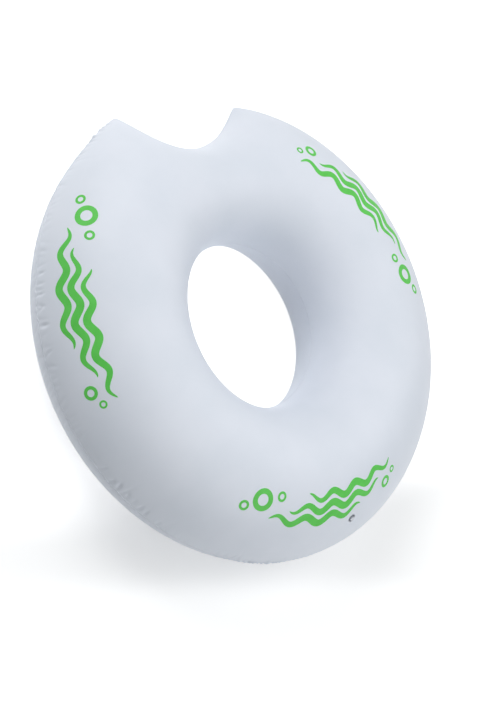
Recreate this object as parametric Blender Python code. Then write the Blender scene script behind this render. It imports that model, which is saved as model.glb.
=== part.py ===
"""Donut pool float: two sheets of PVC film, welded flat along both rims and blown up, with a valve.

Metres, +Z up. The ring lies on its back panel with the bite towards +Y. The origin is on the floor,
under the middle of the ring's box.
"""

import math

import bmesh
import bpy
import numpy as np
from mathutils import Matrix, Vector

# The blown-up ring, measured along its weld seams
rim_diameter = 1.070
hole_diameter = 0.383
tube_height = 0.309
side_fullness = 0.568  # 0.5 rounds the sides like an ellipse, and 1 flattens them like a lens
rest_strip_width = 0.024  # the ring rests on this much of its crown

# The bite out of the rim
bite_radius = 0.210
bite_depth = 0.116
bite_corner_radius = 0.016

# The film and its welds
film = 0.0003
weld_width = 0.002
clearance = 0.0003  # between two pieces that touch or slide

# The valve's place on the front panel, and how far round from the bite
valve_inset = 0.050
valve_bearing = math.radians(184.6)

# The valve's base, which is welded under the film
flange_diameter = 0.032
flange_thickness = 0.0008
well_bore = 0.020
well_wall = 0.0008
well_depth = 0.013
collar_height = 0.0005
collar_chamfer = 0.00025
lip_width = 0.0008
lip_thickness = 0.0007
ledge_width = 0.0025

# The valve's stem, pushed in
stem_bore = 0.006
stem_wall = 0.0014
mouth_height = 0.0015
mouth_bead = 0.0006
mouth_bead_height = 0.0012
mouth_bead_chamfer = 0.0002
lug_thickness = 0.0010
foot_thickness = 0.001
tail_length = 0.0015
flap_block_step = 0.0001

# The stopper and its strap
stopper_diameter = 0.010
stopper_thickness = 0.0011
stopper_edge_round = 0.0007
plug_depth = 0.003
plug_taper = 0.0005
strap_reach = 0.0031
strap_width = 0.0032
strap_thickness = 0.0007
pull_tab_reach = 0.0026
pull_tab_width = 0.0042
pull_tab_corner = 0.0017

# The check flap at the stem's inner end
flap_overlap = 0.0012
flap_thickness = 0.0006
flap_hinge_offset = 0.0030
flap_hinge_width = 0.0030

# How finely the shapes are drawn
bite_steps = 10
corner_steps = 3
rim_steps = (24, 23)
seam_rows = 3
crown_rows = 3
inner_rows = 6
valve_cell_angle = math.radians(15)
round_steps = 32
edge_round_steps = 3
tab_corner_steps = 4
punch_reach = 0.0027  # the punch for the valve's hole goes this far through on either side
film_fold_angle = 50  # the film is smooth up to this angle, and creased at its welds
moulded_edge_angle = 30

rim_radius = rim_diameter / 2
hole_radius = hole_diameter / 2
bite_distance = rim_radius - bite_depth + bite_radius
well_radius = well_bore / 2
bore_radius = stem_bore / 2
stem_radius = bore_radius + stem_wall
stopper_radius = stopper_diameter / 2
strap_hinge = stopper_radius + strap_reach
# A film held between two circles stands highest at this radius.
crown_radius = math.sqrt((rim_radius**2 - hole_radius**2) / (2 * math.log(rim_radius / hole_radius)))


def clear_scene():
    for thing in list(bpy.data.objects):
        bpy.data.objects.remove(thing)


def material(name, colour, roughness):
    finish = bpy.data.materials.new(name)
    finish.use_nodes = True
    shader = finish.node_tree.nodes["Principled BSDF"]
    shader.inputs["Base Color"].default_value = (*colour, 1)
    shader.inputs["Roughness"].default_value = roughness
    shader.inputs["Metallic"].default_value = 0
    return finish


def empty(name, parent=None, place=None):
    frame = bpy.data.objects.new(name, None)
    bpy.context.collection.objects.link(frame)
    frame.parent = parent
    frame.matrix_local = place or Matrix()
    return frame


def piece(name, shape, parent, finish=None, location=(0, 0, 0), sharp_angle=moulded_edge_angle):
    """An object from a bmesh. Without a finish it is a helper that only shapes another piece."""
    mesh = bpy.data.meshes.new(name)
    shape.to_mesh(mesh)
    shape.free()
    made = bpy.data.objects.new(name, mesh)
    bpy.context.collection.objects.link(made)
    made.parent = parent
    made.location = location
    if finish:
        mesh.materials.append(finish)
        mesh.shade_smooth()
        mesh.set_sharp_from_angle(angle=math.radians(sharp_angle))
    else:
        made.hide_render = True
        made.display_type = "WIRE"
    return made


def combine(target, helper, operation):
    joined = target.modifiers.new(helper.name, "BOOLEAN")
    joined.operation = operation
    joined.solver = "EXACT"
    joined.object = helper


def outline():
    """The outer seam's points, anticlockwise from the bite's middle: bite, corner, rim, corner, bite."""
    fillet_orbit = rim_radius - bite_corner_radius
    reach = bite_radius + bite_corner_radius
    across = fillet_orbit**2 + bite_distance**2 - reach**2
    bearing = math.acos(across / (2 * fillet_orbit * bite_distance))
    bite_centre = np.array([0, bite_distance])
    corner_centre = fillet_orbit * np.array([-math.sin(bearing), math.cos(bearing)])
    to_corner = corner_centre - bite_centre
    half_bite = math.atan2(-to_corner[0], -to_corner[1])
    turns = np.linspace(0, half_bite, bite_steps // 2 + 1)
    bite = bite_centre - bite_radius * np.stack([np.sin(turns), np.cos(turns)], -1)
    start = math.atan2(-to_corner[1], -to_corner[0])
    turns = np.linspace(start, bearing + math.pi / 2, corner_steps + 1)
    corner = corner_centre + bite_corner_radius * np.stack([np.cos(turns), np.sin(turns)], -1)
    half_cell = (math.tau - 2 * bearing) / sum(rim_steps, 1) / 2
    bearings = np.concatenate(
        [
            np.linspace(bearing, valve_bearing - half_cell, rim_steps[0] + 1),
            np.linspace(valve_bearing + half_cell, math.tau - bearing, rim_steps[1] + 1),
        ]
    )
    rim = rim_radius * np.stack([-np.sin(bearings), np.cos(bearings)], -1)
    mirrored = [-1, 1]
    return np.concatenate(
        [bite, corner[1:], rim[1:-1], corner[:0:-1] * mirrored, bite[:0:-1] * mirrored]
    )


def row_shares():
    """Where the rows of the grid lie, as shares of the way from the hole's seam to the outer seam.

    They take even steps of angle round the tube. One row is the strip that the ring rests on, and one is
    centred on the valve.
    """
    width = rim_radius - hole_radius
    inner_edge = crown_radius - rest_strip_width / 2 - hole_radius
    outer_edge = rim_radius - crown_radius - rest_strip_width / 2
    turns = np.linspace(0, math.pi / 2, inner_rows + 1)
    inner = inner_edge * (1 - np.cos(turns))
    valve_turn = math.acos(1 - valve_inset / outer_edge)
    turns = np.concatenate(
        [
            np.linspace(0, valve_turn - valve_cell_angle / 2, seam_rows + 1),
            np.linspace(valve_turn + valve_cell_angle / 2, math.pi / 2, crown_rows + 1),
        ]
    )
    outer = width - outer_edge * (1 - np.cos(turns))
    return np.concatenate([inner, outer[::-1]]) / width


def bulge(points):
    """How high a film held along both edges of the grid stands under pressure.

    The values are shares of its highest point.
    """
    rows, columns = points.shape[:2]
    number = np.arange(rows * columns).reshape(rows, columns)
    beside = np.roll(number, -1, axis=1)
    quads = np.stack([number[:-1], beside[:-1], beside[1:], number[1:]], -1).reshape(-1, 4)
    triangles = np.concatenate([quads[:, [0, 1, 2]], quads[:, [0, 2, 3]]])
    corners = points.reshape(-1, 2)[triangles]
    sides = np.roll(corners, -2, axis=1) - np.roll(corners, -1, axis=1)
    area = abs(sides[:, 0, 0] * sides[:, 1, 1] - sides[:, 0, 1] * sides[:, 1, 0]) / 2
    pull = np.einsum("tik,tjk->tij", sides, sides) / (4 * area[:, None, None])
    stiffness = np.zeros((number.size, number.size))
    np.add.at(stiffness, (triangles[:, :, None], triangles[:, None, :]), pull)
    pressure = np.zeros(number.size)
    np.add.at(pressure, triangles, area[:, None] / 3)
    free = number[1:-1].reshape(-1)
    height = np.zeros(number.size)
    height[free] = np.linalg.solve(stiffness[np.ix_(free, free)], pressure[free])
    return (height / height.max()).reshape(rows, columns)


def panel_grid():
    """The front panel's outer face, row by row from the hole's hem to the outer hem, as points."""
    rim = outline()
    distance = np.linalg.norm(rim, axis=1)
    bearing = np.unwrap(np.arctan2(-rim[:, 0], rim[:, 1]))
    even = np.linspace(0, math.tau, len(rim), endpoint=False)
    # Near the bite the grid's lines fan out towards the hole, so that its cells stay even.
    at_hole = bearing + (even - bearing) * (1 + np.cos(bearing)) / 2
    share = row_shares()[:, None]
    turn = at_hole + (bearing - at_hole) * share
    reach = hole_radius + (distance - hole_radius) * share
    flat = reach[..., None] * np.stack([-np.sin(turn), np.cos(turn)], -1)
    along = np.roll(rim, -1, axis=0) - np.roll(rim, 1, axis=0)
    outward = np.stack([along[:, 1], -along[:, 0]], -1)
    outward /= np.linalg.norm(outward, axis=1)[:, None]
    seam_level = clearance / 2 + film
    height = seam_level + (tube_height / 2 - seam_level) * bulge(flat) ** side_fullness
    hem_level = np.full((1, len(rim)), seam_level)
    hole_hem = flat[0] * (1 - weld_width / hole_radius)
    flat = np.concatenate([[hole_hem], flat, [rim + weld_width * outward]])
    return np.concatenate([flat, np.concatenate([hem_level, height, hem_level])[..., None]], -1)


def panel(name, grid, parent, finish):
    """A sheet of film whose outer face is the grid. Its rows run outwards and its columns anticlockwise."""
    shape = bmesh.new()
    rows = [[shape.verts.new(point) for point in row] for row in grid]
    for inner, outer in zip(rows, rows[1:]):
        for k in range(len(inner)):
            shape.faces.new((inner[k - 1], outer[k - 1], outer[k], inner[k]))
    made = piece(name, shape, parent, finish, sharp_angle=film_fold_angle)
    wall = made.modifiers.new("film", "SOLIDIFY")
    wall.thickness = film
    wall.offset = -1
    wall.use_even_offset = True
    return made


def turned(profile):
    """A round piece about Z, from the points (radius, height) round one side of its section."""
    shape = bmesh.new()
    points = [shape.verts.new((radius, 0, height)) for radius, height in profile]
    on_axis = profile[0][0] == 0
    ends = zip(points, points[1:]) if on_axis else zip(points, points[1:] + points[:1])
    edges = [shape.edges.new(pair) for pair in ends]
    bmesh.ops.spin(
        shape,
        geom=points + edges,
        cent=(0, 0, 0),
        axis=(0, 0, 1),
        angle=math.tau,
        steps=round_steps,
        use_merge=True,
    )
    bmesh.ops.remove_doubles(shape, verts=shape.verts, dist=1e-6)
    bmesh.ops.recalc_face_normals(shape, faces=shape.faces)
    return shape


def slab(x, y, z):
    """A rectangular bar between the two values given along each axis."""
    shape = bmesh.new()
    bmesh.ops.create_cube(shape, size=1)
    low, high = Vector((x[0], y[0], z[0])), Vector((x[1], y[1], z[1]))
    size = high - low
    bmesh.ops.scale(shape, vec=size, verts=shape.verts)
    bmesh.ops.translate(shape, vec=(low + high) / 2, verts=shape.verts)
    return shape


def seat_of(grid):
    """The plane of the front panel's cell that carries the valve: X along the rim, Z out of the film."""
    row = 1 + inner_rows + 1 + crown_rows
    column = bite_steps // 2 + corner_steps + rim_steps[0]
    corners = [Vector(grid[r, c]) for r in (row, row + 1) for c in (column, column + 1)]
    along = (corners[1] + corners[3] - corners[0] - corners[2]).normalized()
    down = (corners[2] + corners[3] - corners[0] - corners[1]).normalized()
    normal = down.cross(along).normalized()
    across = normal.cross(along)
    turn = Matrix((along, across, normal)).transposed().to_4x4()
    return Matrix.Translation(sum(corners, Vector()) / 4) @ turn


def base_profile():
    flange_top = -film - clearance
    outer = well_radius + well_wall
    lip = well_radius - lip_width
    ledge = well_radius - ledge_width
    return [
        (lip, collar_height),
        (outer - collar_chamfer, collar_height),
        (outer, collar_height - collar_chamfer),
        (outer, flange_top),
        (flange_diameter / 2, flange_top),
        (flange_diameter / 2, flange_top - flange_thickness),
        (outer, flange_top - flange_thickness),
        (outer, -well_depth),
        (ledge, -well_depth),
        (ledge, -well_depth + well_wall),
        (well_radius, -well_depth + well_wall),
        (well_radius, collar_height - lip_thickness),
        (lip, collar_height - lip_thickness),
    ]


def stem_levels():
    foot_bottom = -well_depth + well_wall + clearance
    return foot_bottom - tail_length, foot_bottom, foot_bottom + foot_thickness


def stem_profile():
    tail, foot_bottom, foot_top = stem_levels()
    foot_radius = well_radius - clearance
    bead_radius = stem_radius + mouth_bead
    return [
        (bore_radius, mouth_height),
        (bead_radius - mouth_bead_chamfer, mouth_height),
        (bead_radius, mouth_height - mouth_bead_chamfer),
        (bead_radius, mouth_height - mouth_bead_height),
        (stem_radius, mouth_height - mouth_bead_height - mouth_bead),
        (stem_radius, foot_top),
        (foot_radius, foot_top),
        (foot_radius, foot_bottom),
        (stem_radius, foot_bottom),
        (stem_radius, tail),
        (bore_radius, tail),
    ]


def stopper_profile():
    """The stopper's section, from the strap's hinge line at the level of the stem's mouth."""
    underside = clearance
    top = underside + stopper_thickness
    plug_radius = bore_radius - clearance
    edge = [
        (
            stopper_radius - stopper_edge_round * (1 - math.sin(turn)),
            top - stopper_edge_round * (1 - math.cos(turn)),
        )
        for turn in np.linspace(0, math.pi / 2, edge_round_steps + 1)
    ]
    return [
        (0, top),
        *edge,
        (stopper_radius, underside),
        (plug_radius, underside),
        (plug_radius, 0),
        (plug_radius - plug_taper, -plug_depth),
        (0, -plug_depth),
    ]


clear_scene()
film_finish = material("pale_pvc_film", (0.80, 0.83, 0.87), 0.45)
valve_finish = material("soft_clear_pvc", (0.78, 0.81, 0.84), 0.35)
flap_finish = material("flap_pvc", (0.74, 0.77, 0.80), 0.4)

front_grid = panel_grid()
quarter = len(front_grid[0]) // 4
rest_level = front_grid[1 + inner_rows : 3 + inner_rows, quarter:-quarter, 2].min()
back_grid = front_grid[:, ::-1] * [1, 1, -1]
back_grid[..., 2] = np.maximum(back_grid[..., 2], -rest_level)
middle_y = (front_grid[..., 1].max() + front_grid[..., 1].min()) / 2

ring_axis = empty("ring_axis", place=Matrix.Translation((0, -middle_y, rest_level)))
front_panel = panel("front_panel", front_grid, ring_axis, film_finish)
back_panel = panel("back_panel", back_grid, ring_axis, film_finish)

seat = empty("valve_seat", ring_axis, seat_of(front_grid))
hole_in_film = well_radius + well_wall + clearance
punch = piece(
    "valve_hole",
    turned(
        [(0, punch_reach), (hole_in_film, punch_reach), (hole_in_film, -punch_reach), (0, -punch_reach)]
    ),
    seat,
)
combine(front_panel, punch, "DIFFERENCE")
valve_base = piece("valve_base", turned(base_profile()), seat, valve_finish)

valve_stem = piece("valve_stem", turned(stem_profile()), seat, valve_finish)
lug = slab(
    (stem_radius - stem_wall / 2, strap_hinge),
    (-strap_width / 2, strap_width / 2),
    (mouth_height - clearance - lug_thickness, mouth_height - clearance),
)
combine(valve_stem, piece("strap_lug", lug, seat), "UNION")
tail_level, foot_bottom, _ = stem_levels()
flap_hinge = bore_radius + flap_hinge_offset
block = slab(
    (stem_radius - stem_wall / 2, flap_hinge),
    (-flap_hinge_width / 2, flap_hinge_width / 2),
    (tail_level + flap_block_step, foot_bottom + foot_thickness / 2),
)
combine(valve_stem, piece("flap_block", block, seat), "UNION")

stopper_shape = turned(stopper_profile())
bmesh.ops.translate(stopper_shape, vec=(-strap_hinge, 0, 0), verts=stopper_shape.verts)
stopper = piece("stopper", stopper_shape, seat, valve_finish, (strap_hinge, 0, mouth_height))
strap = slab(
    (-strap_hinge + stopper_radius / 2, 0),
    (-strap_width / 2, strap_width / 2),
    (clearance, clearance + strap_thickness),
)
combine(stopper, piece("strap", strap, seat, location=stopper.location), "UNION")
stopper_far_side = -strap_hinge - stopper_radius
pull_tab = slab(
    (stopper_far_side - pull_tab_reach, stopper_far_side + stopper_radius / 2),
    (-pull_tab_width / 2, pull_tab_width / 2),
    (clearance, clearance + strap_thickness),
)
tab_corners = []
for corner in pull_tab.edges:
    one, other = (end.co for end in corner.verts)
    if one.x < stopper_far_side and abs(one.z - other.z) > strap_thickness / 2:
        tab_corners.append(corner)
bmesh.ops.bevel(
    pull_tab,
    geom=tab_corners,
    offset=pull_tab_corner,
    segments=tab_corner_steps,
    affect="EDGES",
    profile=0.5,
)
combine(stopper, piece("pull_tab", pull_tab, seat, location=stopper.location), "UNION")

flap_radius = bore_radius + flap_overlap
flap_shape = turned(
    [
        (0, -clearance),
        (flap_radius, -clearance),
        (flap_radius, -clearance - flap_thickness),
        (0, -clearance - flap_thickness),
    ]
)
bmesh.ops.translate(flap_shape, vec=(-flap_hinge, 0, 0), verts=flap_shape.verts)
check_flap = piece("check_flap", flap_shape, seat, flap_finish, (flap_hinge, 0, tail_level))
flap_tab = slab(
    (-flap_hinge + flap_radius / 2, 0),
    (-flap_hinge_width / 2, flap_hinge_width / 2),
    (-clearance - flap_thickness, -clearance),
)
combine(check_flap, piece("flap_tab", flap_tab, seat, location=check_flap.location), "UNION")
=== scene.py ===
import math

import bpy
import numpy as np
from mathutils import Matrix, Vector


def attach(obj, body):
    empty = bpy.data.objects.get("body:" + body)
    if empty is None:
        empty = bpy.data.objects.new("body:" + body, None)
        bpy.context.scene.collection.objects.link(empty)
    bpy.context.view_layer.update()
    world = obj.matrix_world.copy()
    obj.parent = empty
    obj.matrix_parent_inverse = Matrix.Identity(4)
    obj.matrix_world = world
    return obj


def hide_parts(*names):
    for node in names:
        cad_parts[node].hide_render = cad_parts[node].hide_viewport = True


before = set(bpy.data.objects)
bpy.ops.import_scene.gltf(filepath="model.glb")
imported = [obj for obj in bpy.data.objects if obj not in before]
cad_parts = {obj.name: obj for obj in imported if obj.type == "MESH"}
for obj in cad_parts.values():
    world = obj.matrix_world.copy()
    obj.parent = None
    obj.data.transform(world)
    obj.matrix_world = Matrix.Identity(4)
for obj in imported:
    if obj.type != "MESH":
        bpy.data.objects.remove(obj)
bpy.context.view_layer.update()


# Camera
# It stands above the left side of the ring and looks down across it through a short telephoto lens,
# turned a little so that the bite comes to the upper left.
camera_place = (-2.05117, -0.21821, 2.54813)
to_the_right = Vector((0.74011, -0.30560, 0.59904))
upwards = Vector((0.20310, 0.95076, 0.23410))
backwards = Vector((-0.64109, -0.05159, 0.76573))
turned = Matrix((to_the_right, upwards, backwards)).transposed().to_4x4()
camera = bpy.data.objects.new("camera", bpy.data.cameras.new("camera"))
bpy.context.collection.objects.link(camera)
camera.matrix_world = Matrix.Translation(camera_place) @ turned
camera.data.lens = 69.9
bpy.context.scene.camera = camera


# Front and back panels
# The ring is two sheets of PVC film 0.3 mm thick, welded flat along both edges and blown up. The
# outer edge has film to spare once it is round, so it draws up in short puckers beside the weld.
seams_middle = np.array([0, 0.015446, 0.153489])  # where the ring's axis crosses its seams' level
rim_radius = 0.535
hole_radius = 0.1935
tube_height = 0.309
film_thickness = 0.0003
bite_radius = 0.210
bite_depth = 0.116
bite_distance = rim_radius - bite_depth + bite_radius
bite_corner_radius = 0.011

# The film is nearly flat in the bite's corners, so that they aren't drawn in as the rim is. They
# stand out past the rim as ears, and past the left one the rim has a shoulder.
left_ear, right_ear = 0.0075, 0.0015
ear_spread = 0.032
shoulder = 0.0060
shoulder_spread = 0.040
shoulder_from_corner = 0.052


def bell(aside, spread):
    """A smooth swelling: 1 in the middle, a third at its spread, almost nothing at twice that."""
    return np.exp(-((aside / spread) ** 2))


def seam_line(count):
    """Points evenly spaced along the outer seam, anticlockwise from the middle of the bite.

    The second list says how much of each lies on the rim: 0 in the bite and 1 past its corner. The
    last value is the seam's length.
    """
    orbit = rim_radius - bite_corner_radius
    reach = bite_radius + bite_corner_radius
    corner_bearing = math.acos(
        (orbit**2 + bite_distance**2 - reach**2) / (2 * orbit * bite_distance)
    )
    bite_middle = np.array([0, bite_distance])
    corner_middle = orbit * np.array([-math.sin(corner_bearing), math.cos(corner_bearing)])
    towards = corner_middle - bite_middle
    half_bite = math.atan2(-towards[0], -towards[1])
    corner_start = math.atan2(-towards[1], -towards[0])
    corner_turn = corner_bearing + math.pi / 2 - corner_start
    past_bite = bite_radius * half_bite
    past_corner = past_bite + bite_corner_radius * corner_turn
    half_way = past_corner + rim_radius * (math.pi - corner_bearing)
    run = np.arange(count) / count * 2 * half_way
    right_half = run > half_way
    run[right_half] = 2 * half_way - run[right_half]

    turn = run / bite_radius
    bite = bite_middle - bite_radius * np.stack([np.sin(turn), np.cos(turn)], -1)
    turn = corner_start + (run - past_bite) / bite_corner_radius
    corner = corner_middle + bite_corner_radius * np.stack([np.cos(turn), np.sin(turn)], -1)
    turn = corner_bearing + (run - past_corner) / rim_radius
    rim = rim_radius * np.stack([-np.sin(turn), np.cos(turn)], -1)
    points = np.where((run < past_corner)[:, None], corner, rim)
    points = np.where((run < past_bite)[:, None], bite, points)
    points[right_half, 0] *= -1

    from_corner = run - (past_bite + past_corner) / 2
    out = np.where(right_half, right_ear, left_ear) * bell(from_corner, ear_spread)
    fuller = bell(from_corner - shoulder_from_corner, shoulder_spread)
    out += np.where(right_half, 0, shoulder) * fuller
    points += out[:, None] * points / np.linalg.norm(points, axis=1)[:, None]
    on_rim = np.clip((run - past_bite) / (past_corner - past_bite), 0, 1)
    return points, on_rim, 2 * half_way


def blown_up(points):
    """How high a film held along both edges of the grid stands under pressure, as a share of its
    highest point. The film is a membrane, and its heights are found by conjugate gradients."""
    small_enough = 1e-14
    rows, columns = points.shape[:2]
    number = np.arange(rows * columns).reshape(rows, columns)
    beside = np.roll(number, -1, axis=1)
    quads = np.stack([number[:-1], beside[:-1], beside[1:], number[1:]], -1).reshape(-1, 4)
    corners = np.concatenate([quads[:, [0, 1, 2]], quads[:, [0, 2, 3]]])
    places = points.reshape(-1, 2)[corners]
    sides = np.roll(places, -2, axis=1) - np.roll(places, -1, axis=1)
    area = abs(sides[:, 0, 0] * sides[:, 1, 1] - sides[:, 0, 1] * sides[:, 1, 0]) / 2
    pull = np.einsum("tik,tjk->tij", sides, sides) / (4 * area[:, None, None])
    free = np.zeros(number.size)
    free[columns:-columns] = 1

    def gathered(values):
        return np.bincount(corners.ravel(), values.ravel(), number.size) * free

    pressure = gathered(np.repeat(area[:, None] / 3, 3, axis=1))
    firmness = gathered(np.einsum("tii->ti", pull)) + (1 - free)
    height = np.zeros(number.size)
    not_held = pressure
    move = not_held / firmness
    worth = not_held @ move
    enough = worth * small_enough
    while worth > enough:
        answer = gathered(pull @ move[corners][..., None])
        amount = worth / (move @ answer)
        height = height + amount * move
        not_held = not_held - amount * answer
        eased = not_held / firmness
        before, worth = worth, not_held @ eased
        move = eased + worth / before * move
    return (height / height.max()).reshape(rows, columns)


def curve_through(before, start, end, after, t):
    """The place at t between start and end, on a smooth curve through all four."""
    bend = 2 * before - 5 * start + 4 * end - after
    twist = 3 * (start - end) + after - before
    return start + t / 2 * (end - before + t * (bend + t * twist))


def every_column(coarse):
    """The same rows with three columns for one, on a smooth curve through the ones given."""
    before, start, end, after = (np.roll(coarse, k, axis=1) for k in (1, 0, -1, -2))
    steps = [curve_through(before, start, end, after, k / column_step) for k in range(column_step)]
    return np.stack(steps, axis=2).reshape(len(coarse), -1)


def smooth_step(value, start, end):
    """Goes smoothly from 0 at the start to 1 at the end."""
    t = np.clip((value - start) / (end - start), 0, 1)
    return t * t * (3 - 2 * t)


def share_at(radius):
    """How much of the way from the hole to the rim lies inside this radius."""
    return (radius - hole_radius) / (rim_radius - hole_radius)


# The film's grid has rows round the ring and columns from the hole's edge to the outer seam.
fine_columns = 1536
column_step = 3  # the blown-up form is worked out on every third column
puckered_rows = 25  # these outer rows keep every column in the mesh
rows_to_top = 22
rows_to_rim = 34  # from the tube's top on
rim_crowding = 1.5  # above 1 the rows stand closer together towards the rim
seam, on_rim, seam_length = seam_line(fine_columns)
along_seam = np.arange(fine_columns) / fine_columns * seam_length
seam_bearing = np.unwrap(np.arctan2(-seam[:, 0], seam[:, 1]))
even_bearing = np.linspace(0, math.tau, fine_columns, endpoint=False)
hole_bearing = seam_bearing + (even_bearing - seam_bearing) * (1 + np.cos(seam_bearing)) / 2

# The tube's top is where the film of a ring without a bite stands highest.
top_radius = math.sqrt((rim_radius**2 - hole_radius**2) / (2 * math.log(rim_radius / hole_radius)))
inner_turns = np.linspace(0, math.pi / 2, rows_to_top + 1)
outer_turns = math.pi / 2 * np.linspace(0, 1, rows_to_rim + 1) ** rim_crowding
inner_rows = hole_radius + (top_radius - hole_radius) * (1 - np.cos(inner_turns))
outer_rows = rim_radius - (rim_radius - top_radius) * (1 - np.cos(outer_turns[-2::-1]))
shares = share_at(np.concatenate([inner_rows, outer_rows]))
turns = hole_bearing + (seam_bearing - hole_bearing) * shares[:, None]
radii = hole_radius + (np.linalg.norm(seam, axis=1) - hole_radius) * shares[:, None]
flat = radii[..., None] * np.stack([-np.sin(turns), np.cos(turns)], -1)

# A fullness of 0.5 rounds the tube's sides like an ellipse, and 1 flattens them like a lens.
inner_fullness = 0.50
outer_fullness = 0.568
outer_fullness_from = 0.45  # share of the way from the hole to the rim
seam_level = film_thickness
fullness = inner_fullness + (outer_fullness - inner_fullness) * smooth_step(
    shares, 0, outer_fullness_from
)
height = seam_level + (tube_height / 2 - seam_level) * every_column(
    blown_up(flat[:, ::column_step]) ** fullness[:, None]
)
smooth_film = np.concatenate([flat, height[..., None]], -1)


def film_normals(film_grid):
    """The outward normal at each point of a grid of the front panel."""
    outward = np.gradient(film_grid, axis=0)
    onward = np.roll(film_grid, -1, axis=1) - np.roll(film_grid, 1, axis=1)
    normal = np.cross(outward, onward)
    return normal / np.linalg.norm(normal, axis=-1, keepdims=True)


smooth_normals = film_normals(smooth_film)
row_steps = np.linalg.norm(np.diff(smooth_film[::-1], axis=0), axis=-1)
from_seam = np.concatenate([np.zeros((1, fine_columns)), np.cumsum(row_steps, axis=0)])[::-1]
seam_onward = np.roll(seam, -1, axis=0) - np.roll(seam, 1, axis=0)
seam_outward = np.stack([seam_onward[:, 1], -seam_onward[:, 0]], -1)
seam_outward /= np.linalg.norm(seam_outward, axis=1)[:, None]


# Puckers stand all along the rim, but strongly only in some stretches. Each stretch is its middle's
# bearing from the bite in degrees, anticlockwise, half its width, and what it adds.
front_creases = (
    (35, 10, 0.5), (76, 12, 1.3), (121, 10, 1.8), (162, 10, 0.8), (205, 12, 0.4), (270, 25, 0.4)
)
back_creases = (
    (33, 12, 1.7), (100, 25, 0.3), (163, 12, 1.5), (200, 20, 0.3), (290, 30, 0.3), (327, 12, 1.2)
)
scallops = ((31, 11, 1.0), (100, 30, 0.1), (163, 14, 0.8), (270, 30, 0.2), (329, 11, 0.5))
frills = ((27, 7, 0.6), (162, 7.5, 1.0))
closer_puckers = ((163, 14, -0.45),)  # these are smaller and stand closer together
crease_anywhere = 0.3
scallop_anywhere = 0.1


def strength_along(base, stretches):
    """How strongly something shows at each column: the base, and what the stretches add to it."""
    degrees = np.degrees(seam_bearing) % 360
    strength = np.full(fine_columns, float(base))
    for middle, half, more in stretches:
        strength += more * bell((degrees - middle + 180) % 360 - 180, half)
    return strength


def shorter_way(distance):
    """A distance along the seam, taken the shorter way round."""
    return (distance + seam_length / 2) % seam_length - seam_length / 2


# A pucker is a short crease square to the seam. These are its sizes, each from least to most.
pucker_gap = (0.011, 0.025)
pucker_half_width = (0.0029, 0.0048)
pucker_inset = (0.012, 0.019)  # from the seam to its deepest place
pucker_half_length = (0.005, 0.010)
pucker_lean = (-0.35, 0.35)

# Their depths are shares of the deepest, and more are shallow than deep. A few are much longer.
crease_depth = 0.0021
pucker_least_depth = 0.2
mostly_shallow = 1.3
pucker_extra_length = 2.5
seldom_long = 5


def pucker_line():
    """Where the puckers stand along the outer seam, with the half width and the depth of each."""
    chance = np.random.default_rng(11)
    closeness = strength_along(1, closer_puckers)
    line = []
    place = 0
    while place < seam_length:
        size = np.interp(place, along_seam, closeness)
        place += size * chance.uniform(*pucker_gap)
        half_width = size * chance.uniform(*pucker_half_width)
        more_depth = (1 - pucker_least_depth) * chance.random() ** mostly_shallow
        line.append((place, half_width, size * (pucker_least_depth + more_depth)))
    return line


def creases(seed, stretches, reach):
    """How far the film of one panel is drawn in beside the outer seam. Reach makes its puckers
    longer."""
    chance = np.random.default_rng(seed)
    drawn = np.zeros_like(from_seam)
    for place, half_width, depth in puckers:
        deepest = reach * chance.uniform(*pucker_inset)
        half_length = reach * chance.uniform(*pucker_half_length)
        half_length *= 1 + pucker_extra_length * chance.random() ** seldom_long
        lean = chance.uniform(*pucker_lean)
        aside = shorter_way(along_seam - place - lean * from_seam)
        drawn += depth * bell(aside, half_width) * bell(from_seam - deepest, half_length)
    return crease_depth * strength_along(crease_anywhere, stretches) * on_rim * drawn


def edge_wave(seed, shortest, longest):
    """How the welded edge sways between its puckers, about from -1 to 1, in seven waves whose
    lengths go from the shortest to the longest."""
    chance = np.random.default_rng(seed)
    wave = np.zeros_like(along_seam)
    for length in np.geomspace(shortest, longest, 7):
        turns_round = round(seam_length / (length * chance.uniform(0.9, 1.1)))
        wave += np.sin(math.tau * (turns_round * along_seam / seam_length + chance.random()))
    return wave / 4


# The seam itself is drawn in a little at each pucker.
scallop_depth = 0.0040
scallop_least = 0.4
scallop_width = 1.3  # in widths of its pucker
puckers = pucker_line()
edge_in = np.zeros_like(along_seam)
for place, half_width, depth in puckers:
    drawn = bell(shorter_way(along_seam - place), scallop_width * half_width)
    edge_in += (scallop_least + (1 - scallop_least) * depth) * drawn
edge_in *= scallop_depth * strength_along(scallop_anywhere, scallops) * on_rim

# The weld sways up and down and in and out, and stands out in ruffles where it has most to spare.
edge_waves = (0.013, 0.055)
edge_rise = 0.0009
edge_sway = 0.0004
frill_depth = 0.0042
frill_spacing = 0.0125
frill_waves = (0.030, 0.080)
frill_unevenness = 2.5
frill_flatness = 0.35
crease_strength = strength_along(crease_anywhere, front_creases) * on_rim
edge_level = edge_rise * crease_strength * edge_wave(3, *edge_waves)
edge_place = edge_sway * crease_strength * edge_wave(4, *edge_waves)
frill_turn = math.tau * along_seam / frill_spacing + frill_unevenness * edge_wave(5, *frill_waves)
lobes = (frill_flatness + (1 - frill_flatness) * np.sin(frill_turn)).clip(0)
frill = frill_depth * strength_along(0, frills) * on_rim * lobes
edge_out = edge_place - edge_in + frill

# How far from the seam the film still follows it
drawn_in_reach = 0.015
frill_reach = 0.009
sway_reach = 0.010

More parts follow.
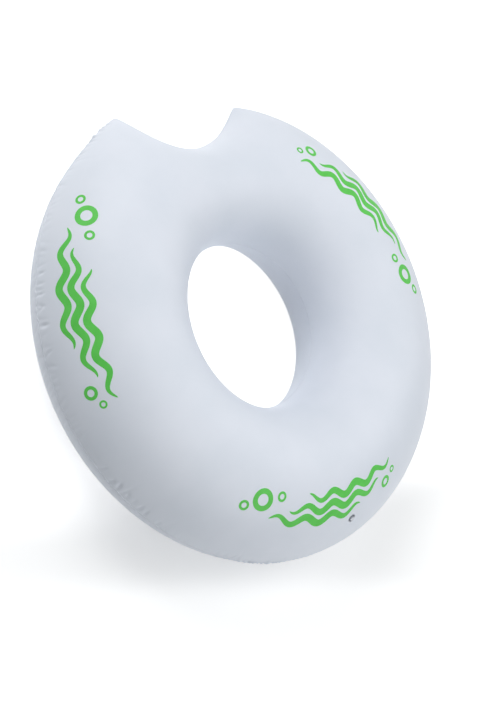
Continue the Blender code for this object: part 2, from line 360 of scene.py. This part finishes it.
# Both hems lie flat on each other and close at their tips: the share of the weld's width, and of
# the seam's level there.
hem_section = ((0.4, 1), (0.9, 1), (1, 1 / 3))
hem_rows = len(hem_section)
weld_width = 0.0010
weld_droop = 0.0007
droop_curve = 1.5
tip_sway = 0.3
hole_weld_width = 0.0006


def panel_grid(side, creased):
    """The film of one panel from its welded hole edge to its outer edge, with its puckers.

    Side is 1 for the front panel and -1 for the back one, which is turned over later.
    """
    drawn = creased + edge_in * bell(from_seam, drawn_in_reach)
    drawn -= frill * bell(from_seam, frill_reach)
    grid = smooth_film - drawn[..., None] * smooth_normals
    grid[..., 2] += side * edge_level * np.exp(-from_seam / sway_reach)
    grid[-1, :, :2] = seam + edge_out[:, None] * seam_outward
    grid[-1, :, 2] = seam_level + side * edge_level
    grid[0, :, 2] = seam_level
    hems, hole_hems = [], []
    for share, level in hem_section:
        hem = seam + seam_outward * (weld_width * share + edge_out)[:, None]
        sway = edge_level * (1 + tip_sway * share) - weld_droop * share**droop_curve
        hems.append(np.column_stack([hem, level * seam_level + side * sway]))
        hem = smooth_film[0, :, :2] * (1 - hole_weld_width * share / hole_radius)
        hole_hems.insert(0, np.column_stack([hem, np.full(fine_columns, level * seam_level)]))
    return np.concatenate([hole_hems, grid, hems])


def on_film(grid, share, bearing):
    """Values of a panel's grid at these shares of the way from the hole's seam to the outer one."""
    columns = np.arange(fine_columns + 1)
    at_rim = np.append(seam_bearing, seam_bearing[0] + math.tau)
    at_hole = np.append(hole_bearing, hole_bearing[0] + math.tau)
    at = np.interp(bearing, at_rim, columns)
    for _ in range(5):
        here = np.interp(at, columns, at_hole) * (1 - share)
        here += np.interp(at, columns, at_rim) * share
        at = at + (bearing - here) * fine_columns / math.tau
    row = np.interp(share, shares, np.arange(len(shares)))
    last = len(shares) - 1
    inner = np.minimum(row.astype(int), last - 1)
    before = np.floor(at).astype(int)
    aside = (at - before)[..., None]
    four_rows = (
        (1 - aside) * grid[k, before % fine_columns] + aside * grid[k, (before + 1) % fine_columns]
        for k in (np.maximum(inner - 1, 0), inner, inner + 1, np.minimum(inner + 2, last))
    )
    return curve_through(*four_rows, (row - inner)[..., None])


front_grid = panel_grid(1, creases(11, front_creases, 1))
back_grid = panel_grid(-1, creases(12, back_creases, 1.8))

# The film lies flat on the valve's flange and goes back to its curve around it.
valve_place = np.array([0.038738, -0.466113, 0.251096]) - seams_middle
valve_along = np.array([0.99678, 0.080184, 0.00004])
valve_across = np.array([-0.057854, 0.718833, 0.692771])
valve_up = np.array([0.05552, -0.690543, 0.721158])
valve_axes = np.array([valve_along, valve_across, valve_up])
flat_to = 0.017  # from the valve's middle
curved_from = 0.040
far_side = -0.05  # film lower than this under the flange belongs to another part of the ring
from_valve = front_grid - valve_place
beside_valve = np.hypot(from_valve @ valve_along, from_valve @ valve_across)
near_valve = 1 - smooth_step(beside_valve, flat_to, curved_from)
near_valve[from_valve @ valve_up < far_side] = 0
flange_level = valve_place[2] - from_valve[..., :2] @ valve_up[:2] / valve_up[2]
front_grid[..., 2] += near_valve * (flange_level - front_grid[..., 2])
front_film = front_grid[hem_rows:-hem_rows]


def film_mesh(grid, cut=None):
    """The points and the faces of one panel, which faces are welded, and the points round its cut.

    Inside the puckered rows only every third column goes on. The cut is a patch of cells that is
    left open, given by its rows and its columns.
    """
    fine_from = len(grid) - hem_rows - puckered_rows
    rows = [points if k >= fine_from else points[::column_step] for k, points in enumerate(grid)]
    starts = np.cumsum([0] + [len(points) for points in rows])
    open_rows, open_columns, ring = range(0), range(0), []
    if cut:
        (low, high), (first, last) = cut
        open_rows, open_columns = range(hem_rows + low, hem_rows + high), range(first, last)
        walk = [(low, c) for c in range(first, last)] + [(r, last) for r in range(low, high)]
        walk += [(high, c) for c in range(last, first, -1)]
        walk += [(r, first) for r in range(high, low, -1)]
        ring = [int(starts[hem_rows + r]) + c for r, c in walk]
    faces = []
    for k in range(len(rows) - 1):
        near, far = len(rows[k]), len(rows[k + 1])
        ratio = far // near
        for c in range(near):
            if k in open_rows and c in open_columns:
                continue
            beyond = [starts[k + 1] + (c * ratio + j) % far for j in range(ratio + 1)]
            faces.append([starts[k] + c, *beyond, starts[k] + (c + 1) % near])
    inside_hole, outside_rim = hem_rows * len(rows[0]), hem_rows * len(rows[-1])
    welded = [k < inside_hole or k >= len(faces) - outside_rim for k in range(len(faces))]
    return np.concatenate(rows), faces, welded, ring


def made_mesh(name, points, faces, finishes, second=()):
    """A smooth mesh. The faces marked in second take the second finish."""
    sharp_edge = math.radians(40)
    mesh = bpy.data.meshes.new(name)
    mesh.from_pydata([tuple(p) for p in points], [], [[int(i) for i in face] for face in faces])
    mesh.shade_smooth()
    mesh.set_sharp_from_angle(angle=sharp_edge)
    piece = bpy.data.objects.new(name, mesh)
    bpy.context.collection.objects.link(piece)
    for finish in finishes:
        mesh.materials.append(finish)
    for face, marked in zip(mesh.polygons, second):
        face.material_index = int(marked)
    return piece


def node_of(tree, kind, place=(0, 0), **settings):
    node = tree.nodes.new(kind)
    node.location = place
    for name, value in settings.items():
        setattr(node, name, value)
    return node


def vinyl_grain():
    """A node group for soft PVC: how the tone clouds over broad areas, and the fine grain that the
    calender leaves in its face."""
    group = bpy.data.node_groups.new("vinyl_grain", "ShaderNodeTree")
    for name, start in (("Cloud size", 0.12), ("Grain size", 0.0008)):
        socket = group.interface.new_socket(
            name=name, in_out="INPUT", socket_type="NodeSocketFloat"
        )
        socket.default_value = start
    for name in ("Clouds", "Grain"):
        group.interface.new_socket(name=name, in_out="OUTPUT", socket_type="NodeSocketFloat")
    given = node_of(group, "NodeGroupInput", (-700, 0))
    put_out = node_of(group, "NodeGroupOutput", (500, 0))
    place = node_of(group, "ShaderNodeTexCoord", (-700, 300))
    noises = (("Cloud size", "Clouds", 3), ("Grain size", "Grain", 2))
    for row, (size, name, detail) in enumerate(noises):
        finer = node_of(group, "ShaderNodeMath", (-450, -200 * row), operation="DIVIDE")
        finer.inputs[0].default_value = 1
        group.links.new(given.outputs[size], finer.inputs[1])
        noise = node_of(group, "ShaderNodeTexNoise", (-200, -200 * row))
        noise.inputs["Detail"].default_value = detail
        group.links.new(place.outputs["Object"], noise.inputs["Vector"])
        group.links.new(finer.outputs[0], noise.inputs["Scale"])
        group.links.new(noise.outputs["Fac"], put_out.inputs[name])
    return group


vinyl = vinyl_grain()


def soft_vinyl(name, pale, deep, roughness, cloud_size, grain_size, grain_depth, specular=0.5):
    """Soft PVC whose tone clouds between two colours, with a fine grain. Roughness is a low and a
    high value. The clouds' middle values alone go from one colour to the other."""
    finish = bpy.data.materials.new(name)
    finish.use_nodes = True
    tree = finish.node_tree
    shader = tree.nodes["Principled BSDF"]
    shader.inputs["Specular IOR Level"].default_value = specular
    grain = node_of(tree, "ShaderNodeGroup", (-900, 0), node_tree=vinyl)
    grain.inputs["Cloud size"].default_value = cloud_size
    grain.inputs["Grain size"].default_value = grain_size
    tone = node_of(tree, "ShaderNodeMix", (-500, 200), data_type="RGBA")
    tone.inputs["A"].default_value = (*pale, 1)
    tone.inputs["B"].default_value = (*deep, 1)
    spread = node_of(tree, "ShaderNodeMapRange", (-700, 200))
    spread.inputs["From Min"].default_value = 0.35
    spread.inputs["From Max"].default_value = 0.65
    tree.links.new(grain.outputs["Clouds"], spread.inputs["Value"])
    tree.links.new(spread.outputs["Result"], tone.inputs["Factor"])
    tree.links.new(tone.outputs["Result"], shader.inputs["Base Color"])
    shine = node_of(tree, "ShaderNodeMapRange", (-500, -100))
    shine.inputs["To Min"].default_value, shine.inputs["To Max"].default_value = roughness
    tree.links.new(grain.outputs["Grain"], shine.inputs["Value"])
    tree.links.new(shine.outputs["Result"], shader.inputs["Roughness"])
    bump = node_of(tree, "ShaderNodeBump", (-300, -300))
    bump.inputs["Strength"].default_value = 0.5
    bump.inputs["Distance"].default_value = grain_depth
    tree.links.new(grain.outputs["Grain"], bump.inputs["Height"])
    tree.links.new(bump.outputs["Normal"], shader.inputs["Normal"])
    return finish


pale_film = soft_vinyl(
    "pale_pvc_film",
    pale=(0.842, 0.878, 0.955),
    deep=(0.800, 0.843, 0.920),
    roughness=(0.44, 0.58),
    cloud_size=0.16,
    grain_size=0.0012,
    grain_depth=0.00008,
    specular=0.4,
)
weld_band = soft_vinyl(
    "welded_pvc",
    pale=(0.80, 0.83, 0.90),
    deep=(0.75, 0.785, 0.86),
    roughness=(0.30, 0.42),
    cloud_size=0.05,
    grain_size=0.0009,
    grain_depth=0.00012,
)

# The front panel's film has a round hole over the valve. It is pressed on to the flange there, and
# its cut edge turns down. Rings of cells take the place of a patch of the grid.
patch_rows = (-2, 4)  # from the valve's own row
patch_columns = (-12, 13)  # from its column
hole_in_film = 0.0111
flange_rim = 0.016
pressed_in = 0.00015
pressed_to = (0.0157, 0.0170)
edge_turned_down = 0.0006
ring_steps = (0, 0.06, 0.13, 0.21, 0.29, 0.34, 0.39, 0.47, 0.6, 0.75, 0.88)

valve_share = share_at(math.hypot(*valve_place[:2]))
valve_row = int(np.interp(valve_share, shares, np.arange(len(shares))))
valve_bearing = math.atan2(-valve_place[0], valve_place[1]) % math.tau
valve_column = int(np.interp(valve_bearing, seam_bearing, np.arange(fine_columns)))
patch = [valve_row + k for k in patch_rows], [valve_column + k for k in patch_columns]
points, faces, welded, outer_ring = film_mesh(front_grid, patch)
edge = ((points[outer_ring] - valve_place) @ valve_axes.T)[:, :2]
circle = edge / np.linalg.norm(edge, axis=1)[:, None] * hole_in_film
count = len(outer_ring)
loops = [np.column_stack([circle, np.full(count, -edge_turned_down)])]
for step in ring_steps:
    plane = circle + (edge - circle) * step
    away = np.linalg.norm(plane, axis=1)
    lift = np.zeros(count)
    for _ in range(4):
        spots = valve_place + np.column_stack([plane, lift]) @ valve_axes
        share = share_at(np.hypot(spots[:, 0], spots[:, 1]))
        bearing = np.arctan2(-spots[:, 0], spots[:, 1]) % math.tau
        level = on_film(front_film, share, bearing)[:, 2]
        lift += np.where(away > flange_rim, (level - spots[:, 2]) * valve_up[2], 0)
    pressed = pressed_in * (1 - smooth_step(away, *pressed_to))
    loops.append(np.column_stack([plane, lift - pressed]))
rings = [list(range(k, k + count)) for k in len(points) + count * np.arange(len(loops))]
for here, there in zip(rings, rings[1:] + [outer_ring]):
    for j in range(count):
        n = (j + 1) % count
        faces.append([here[j], here[n], there[n], there[j]])
points = np.concatenate([points, *(valve_place + loop @ valve_axes for loop in loops)])
front_skin = made_mesh("front_film", points, faces, (pale_film, weld_band), welded)

# The back panel is the same turned over, and it is pressed flat where it meets the floor.
under = back_grid[:, ::-1] * [1, 1, -1]
under[..., 2] = np.maximum(under[..., 2], -seams_middle[2])
points, faces, welded, _ = film_mesh(under)
back_skin = made_mesh("back_film", points, faces, (pale_film, weld_band), welded)

for skin, node in ((front_skin, "front_panel"), (back_skin, "back_panel")):
    skin.data.transform(Matrix.Translation(seams_middle))
    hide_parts(node)
    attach(skin, "ring")


# Print
# Waves and bubbles in green ink, screen printed on the front panel's film before it is cut and
# welded, so that they follow its curve. Three groups lie round the ring, their tops to its hole.
ink_rise = 0.0002
print_step = 0.002
wave_length = 0.074
wave_height = 0.0085
wave_stroke = 0.0165
wave_tip = 0.0006
wave_taper = 0.55  # below 1 the stroke is broad for most of its length
bubble_hollow = 0.52
green_ink = soft_vinyl(
    "green_ink",
    pale=(0.135, 0.660, 0.110),
    deep=(0.117, 0.610, 0.093),
    roughness=(0.42, 0.56),
    cloud_size=0.03,
    grain_size=0.0006,
    grain_depth=0.00003,
    specular=0.25,
)


def wave_ribbon(start, end, level):
    """Rows of points across a wave that runs out to a point at both ends."""
    along = np.linspace(start, end, round((end - start) / print_step))
    share = (along - start) / (end - start)
    turn = math.tau * along / wave_length
    middle = np.stack([along, level + wave_height * np.sin(turn)], -1)
    slope = math.tau * wave_height / wave_length * np.cos(turn)
    aside = np.stack([-slope, np.ones_like(turn)], -1)
    aside /= np.linalg.norm(aside, axis=1)[:, None]
    half = wave_tip / 2 + wave_stroke / 2 * np.sin(math.pi * share) ** wave_taper
    return middle[:, None] + (half[:, None] * np.linspace(-1, 1, 7))[..., None] * aside[:, None]


def bubble(x, y, radius):
    """Rows of points across a round line, once round."""
    turn = -np.linspace(0, math.tau, 49)
    reach = radius * np.linspace(bubble_hollow, 1, 5)
    spokes = np.stack([np.cos(turn), np.sin(turn)], -1)
    return np.array([x, y]) + spokes[:, None] * reach[:, None]


motifs = (
    wave_ribbon(-0.150, 0.104, -0.024),
    wave_ribbon(-0.104, 0.172, 0.002),
    wave_ribbon(-0.056, 0.226, 0.028),
    bubble(-0.180, 0.010, 0.025),
    bubble(-0.218, -0.014, 0.0115),
    bubble(-0.134, 0.026, 0.0115),
    bubble(0.196, -0.016, 0.0145),
    bubble(0.226, -0.002, 0.0085),
)
front_normals = film_normals(front_film)
inset_run = from_seam[:, fine_columns // 2]  # on the side that faces the bite


def printed(name, bearing, radius):
    """One group, laid on the film with its middle at this place. The ink's sides go into it."""
    middle_inset = np.interp(share_at(radius), shares, inset_run)
    points, faces = [], []
    for motif in motifs:
        closed = np.allclose(motif[0], motif[-1])
        if closed:
            motif = motif[:-1]
        sides = ((0, 0) if closed else (1, 1), (1, 1))
        spread = np.pad(motif, (*sides, (0, 0)), mode="edge")
        rise = np.pad(np.full(motif.shape[:2], ink_rise), sides, constant_values=-ink_rise / 2)
        around = bearing + spread[..., 0] / radius
        share = np.interp(-middle_inset - spread[..., 1], -inset_run, shares)
        out = on_film(front_normals, share, around)
        out /= np.linalg.norm(out, axis=-1, keepdims=True)
        laid = on_film(front_film, share, around) + rise[..., None] * out
        number = np.arange(rise.size).reshape(rise.shape) + sum(len(p) for p in points)
        if closed:
            number = np.concatenate([number, number[:1]])
        corners = [number[:-1, :-1], number[1:, :-1], number[1:, 1:], number[:-1, 1:]]
        quads = np.stack(corners, -1)
        wanted = np.ones(quads.shape[:2], bool)
        if not closed:
            wanted[[0, 0, -1, -1], [0, -1, 0, -1]] = False  # the corners have no side of their own
        points.append(laid.reshape(-1, 3))
        faces.append(quads[wanted])
    used, faces = np.unique(np.concatenate(faces), return_inverse=True)
    places = np.concatenate(points)[used] + seams_middle
    piece = made_mesh(name, places, faces.reshape(-1, 4), (green_ink,))
    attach(piece, "ring")


printed("print_left", math.radians(74.5), 0.4965)
printed("print_bottom", math.radians(173.5), 0.441)
printed("print_right", math.radians(297), 0.404)


# Valve
# A push-in valve of soft moulded PVC: a flange and well welded under the film, a stem that slides
# in the well with the stopper hinged on it, and a check flap that the ring's own pressure closes.
milky_pvc = soft_vinyl(
    "milky_pvc",
    pale=(0.71, 0.74, 0.79),
    deep=(0.64, 0.67, 0.73),
    roughness=(0.28, 0.40),
    cloud_size=0.006,
    grain_size=0.0005,
    grain_depth=0.00004,
)
flap_pvc = soft_vinyl(
    "flap_pvc",
    pale=(0.66, 0.69, 0.73),
    deep=(0.60, 0.63, 0.68),
    roughness=(0.35, 0.50),
    cloud_size=0.004,
    grain_size=0.0003,
    grain_depth=0.00002,
)
for node, finish in (
    ("valve_base", milky_pvc),
    ("valve_stem", milky_pvc),
    ("stopper", milky_pvc),
    ("check_flap", flap_pvc),
):
    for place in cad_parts[node].material_slots:
        place.material = finish


# Floor and light
# A plain white floor under four broad round lamps: the key beyond the bite, and weaker ones in
# front, at the right and overhead. Painted light lies on the floor: a glow, seen by the camera and
# in reflections alone, that paints over the lamps' shadow in the ring's hole and behind the ring,
# and is weaker round the ring's lower half, so that the soft shadow shows there.
floor_half = 30
floor_drop = 0.0005
floor_corners = ((-1, -1, 0), (1, -1, 0), (1, 1, 0), (-1, 1, 0))
floor_mesh = bpy.data.meshes.new("floor")
floor_mesh.from_pydata([Vector(c) * floor_half for c in floor_corners], [], [(0, 1, 2, 3)])
floor = bpy.data.objects.new("floor", floor_mesh)
bpy.context.collection.objects.link(floor)
floor.location.z = -floor_drop


def seen_or_mirrored(tree):
    """A value that is 1 for what the camera sees, straight, mirrored or through clear things."""
    ray = node_of(tree, "ShaderNodeLightPath")
    seen = ray.outputs["Is Camera Ray"]
    for kind in ("Is Glossy Ray", "Is Transmission Ray"):
        either = node_of(tree, "ShaderNodeMath", operation="MAXIMUM")
        tree.links.new(seen, either.inputs[0])
        tree.links.new(ray.outputs[kind], either.inputs[1])
        seen = either.outputs[0]
    return seen


# The floor's material: white paint, with painted light on top of it as a glow.
floor_with_painted_light = bpy.data.materials.new("floor_with_painted_light")
floor_with_painted_light.use_nodes = True
floor_mesh.materials.append(floor_with_painted_light)
tree = floor_with_painted_light.node_tree
shader = tree.nodes["Principled BSDF"]
shader.inputs["Base Color"].default_value = (0.90, 0.90, 0.90, 1)
shader.inputs["Roughness"].default_value = 0.9
shader.inputs["Specular IOR Level"].default_value = 0.1

# The painted light is the strongest of four glows: far out, in the ring's hole, behind the ring
# and, weaker, in front of its shadow. In the hole and behind the ring it paints the floor white
# over the lamps' shadow. Each goes smoothly from one strength to another, by the distance from the
# ring's middle or along a direction over the floor.
least_glow = 0.204
glow_blend = 0.12
ring_middle = (0, 0.015, 0)
place = node_of(tree, "ShaderNodeTexCoord")
brighter = None
for measured, against, (near, far), (strength, strength_beyond) in (
    ("DISTANCE", ring_middle, (0.49, 1.70), (least_glow, 1)),
    ("DISTANCE", ring_middle, (0.24, 0.36), (1, least_glow)),
    ("DOT_PRODUCT", (0.188, 1, 0), (-0.468, -0.241), (least_glow, 0.70)),
    ("DOT_PRODUCT", (0.294, 1, 0), (-0.616, -0.508), (0.412, least_glow)),
):
    measure = node_of(tree, "ShaderNodeVectorMath", operation=measured)
    measure.inputs[1].default_value = against
    tree.links.new(place.outputs["Object"], measure.inputs[0])
    ramp = node_of(tree, "ShaderNodeMapRange", interpolation_type="SMOOTHSTEP")
    ramp.inputs["From Min"].default_value = near
    ramp.inputs["From Max"].default_value = far
    ramp.inputs["To Min"].default_value = strength
    ramp.inputs["To Max"].default_value = strength_beyond
    tree.links.new(measure.outputs["Value"], ramp.inputs["Value"])
    if brighter:
        either = node_of(tree, "ShaderNodeMath", operation="SMOOTH_MAX")
        tree.links.new(brighter.outputs[0], either.inputs[0])
        tree.links.new(ramp.outputs[0], either.inputs[1])
        either.inputs[2].default_value = glow_blend
        ramp = either
    brighter = ramp
shown = node_of(tree, "ShaderNodeMath", operation="MULTIPLY")
tree.links.new(seen_or_mirrored(tree), shown.inputs[0])
tree.links.new(brighter.outputs[0], shown.inputs[1])
glow = node_of(tree, "ShaderNodeEmission")
tree.links.new(shown.outputs[0], glow.inputs["Strength"])
both = node_of(tree, "ShaderNodeAddShader")
tree.links.new(shader.outputs[0], both.inputs[0])
tree.links.new(glow.outputs[0], both.inputs[1])
tree.links.new(both.outputs[0], tree.nodes["Material Output"].inputs["Surface"])

# The room is seen white, and its own light is weak and bluish.
world = bpy.data.worlds.new("studio")
world.use_nodes = True
bpy.context.scene.world = world
tree = world.node_tree
plain = tree.nodes["Background"]
plain.inputs["Color"].default_value = (0.7, 0.9, 1, 1)
plain.inputs["Strength"].default_value = 0.06
white = node_of(tree, "ShaderNodeBackground")
white.inputs["Color"].default_value = (1, 1, 1, 1)
choice = node_of(tree, "ShaderNodeMixShader")
tree.links.new(seen_or_mirrored(tree), choice.inputs["Fac"])
tree.links.new(plain.outputs[0], choice.inputs[1])
tree.links.new(white.outputs[0], choice.inputs[2])
tree.links.new(choice.outputs[0], tree.nodes["World Output"].inputs["Surface"])

lamp_width = 3.0
lamps_aim = Vector((0, 0, 0.15))
for name, place, power in (
    ("key_lamp", (-1.0, 3.1, 2.4), 88),
    ("front_lamp", (0, -2.83, 2.98), 60),
    ("side_lamp", (2.83, 0, 2.98), 27),
    ("top_lamp", (0, 0, 4.2), 28),
):
    light = bpy.data.lights.new(name, "AREA")
    light.shape = "DISK"
    light.size = lamp_width
    light.energy = power
    lamp = bpy.data.objects.new(name, light)
    bpy.context.collection.objects.link(lamp)
    lamp.location = place
    lamp.rotation_euler = (Vector(place) - lamps_aim).to_track_quat("Z", "Y").to_euler()
bpy.context.scene.view_settings.view_transform = "Standard"
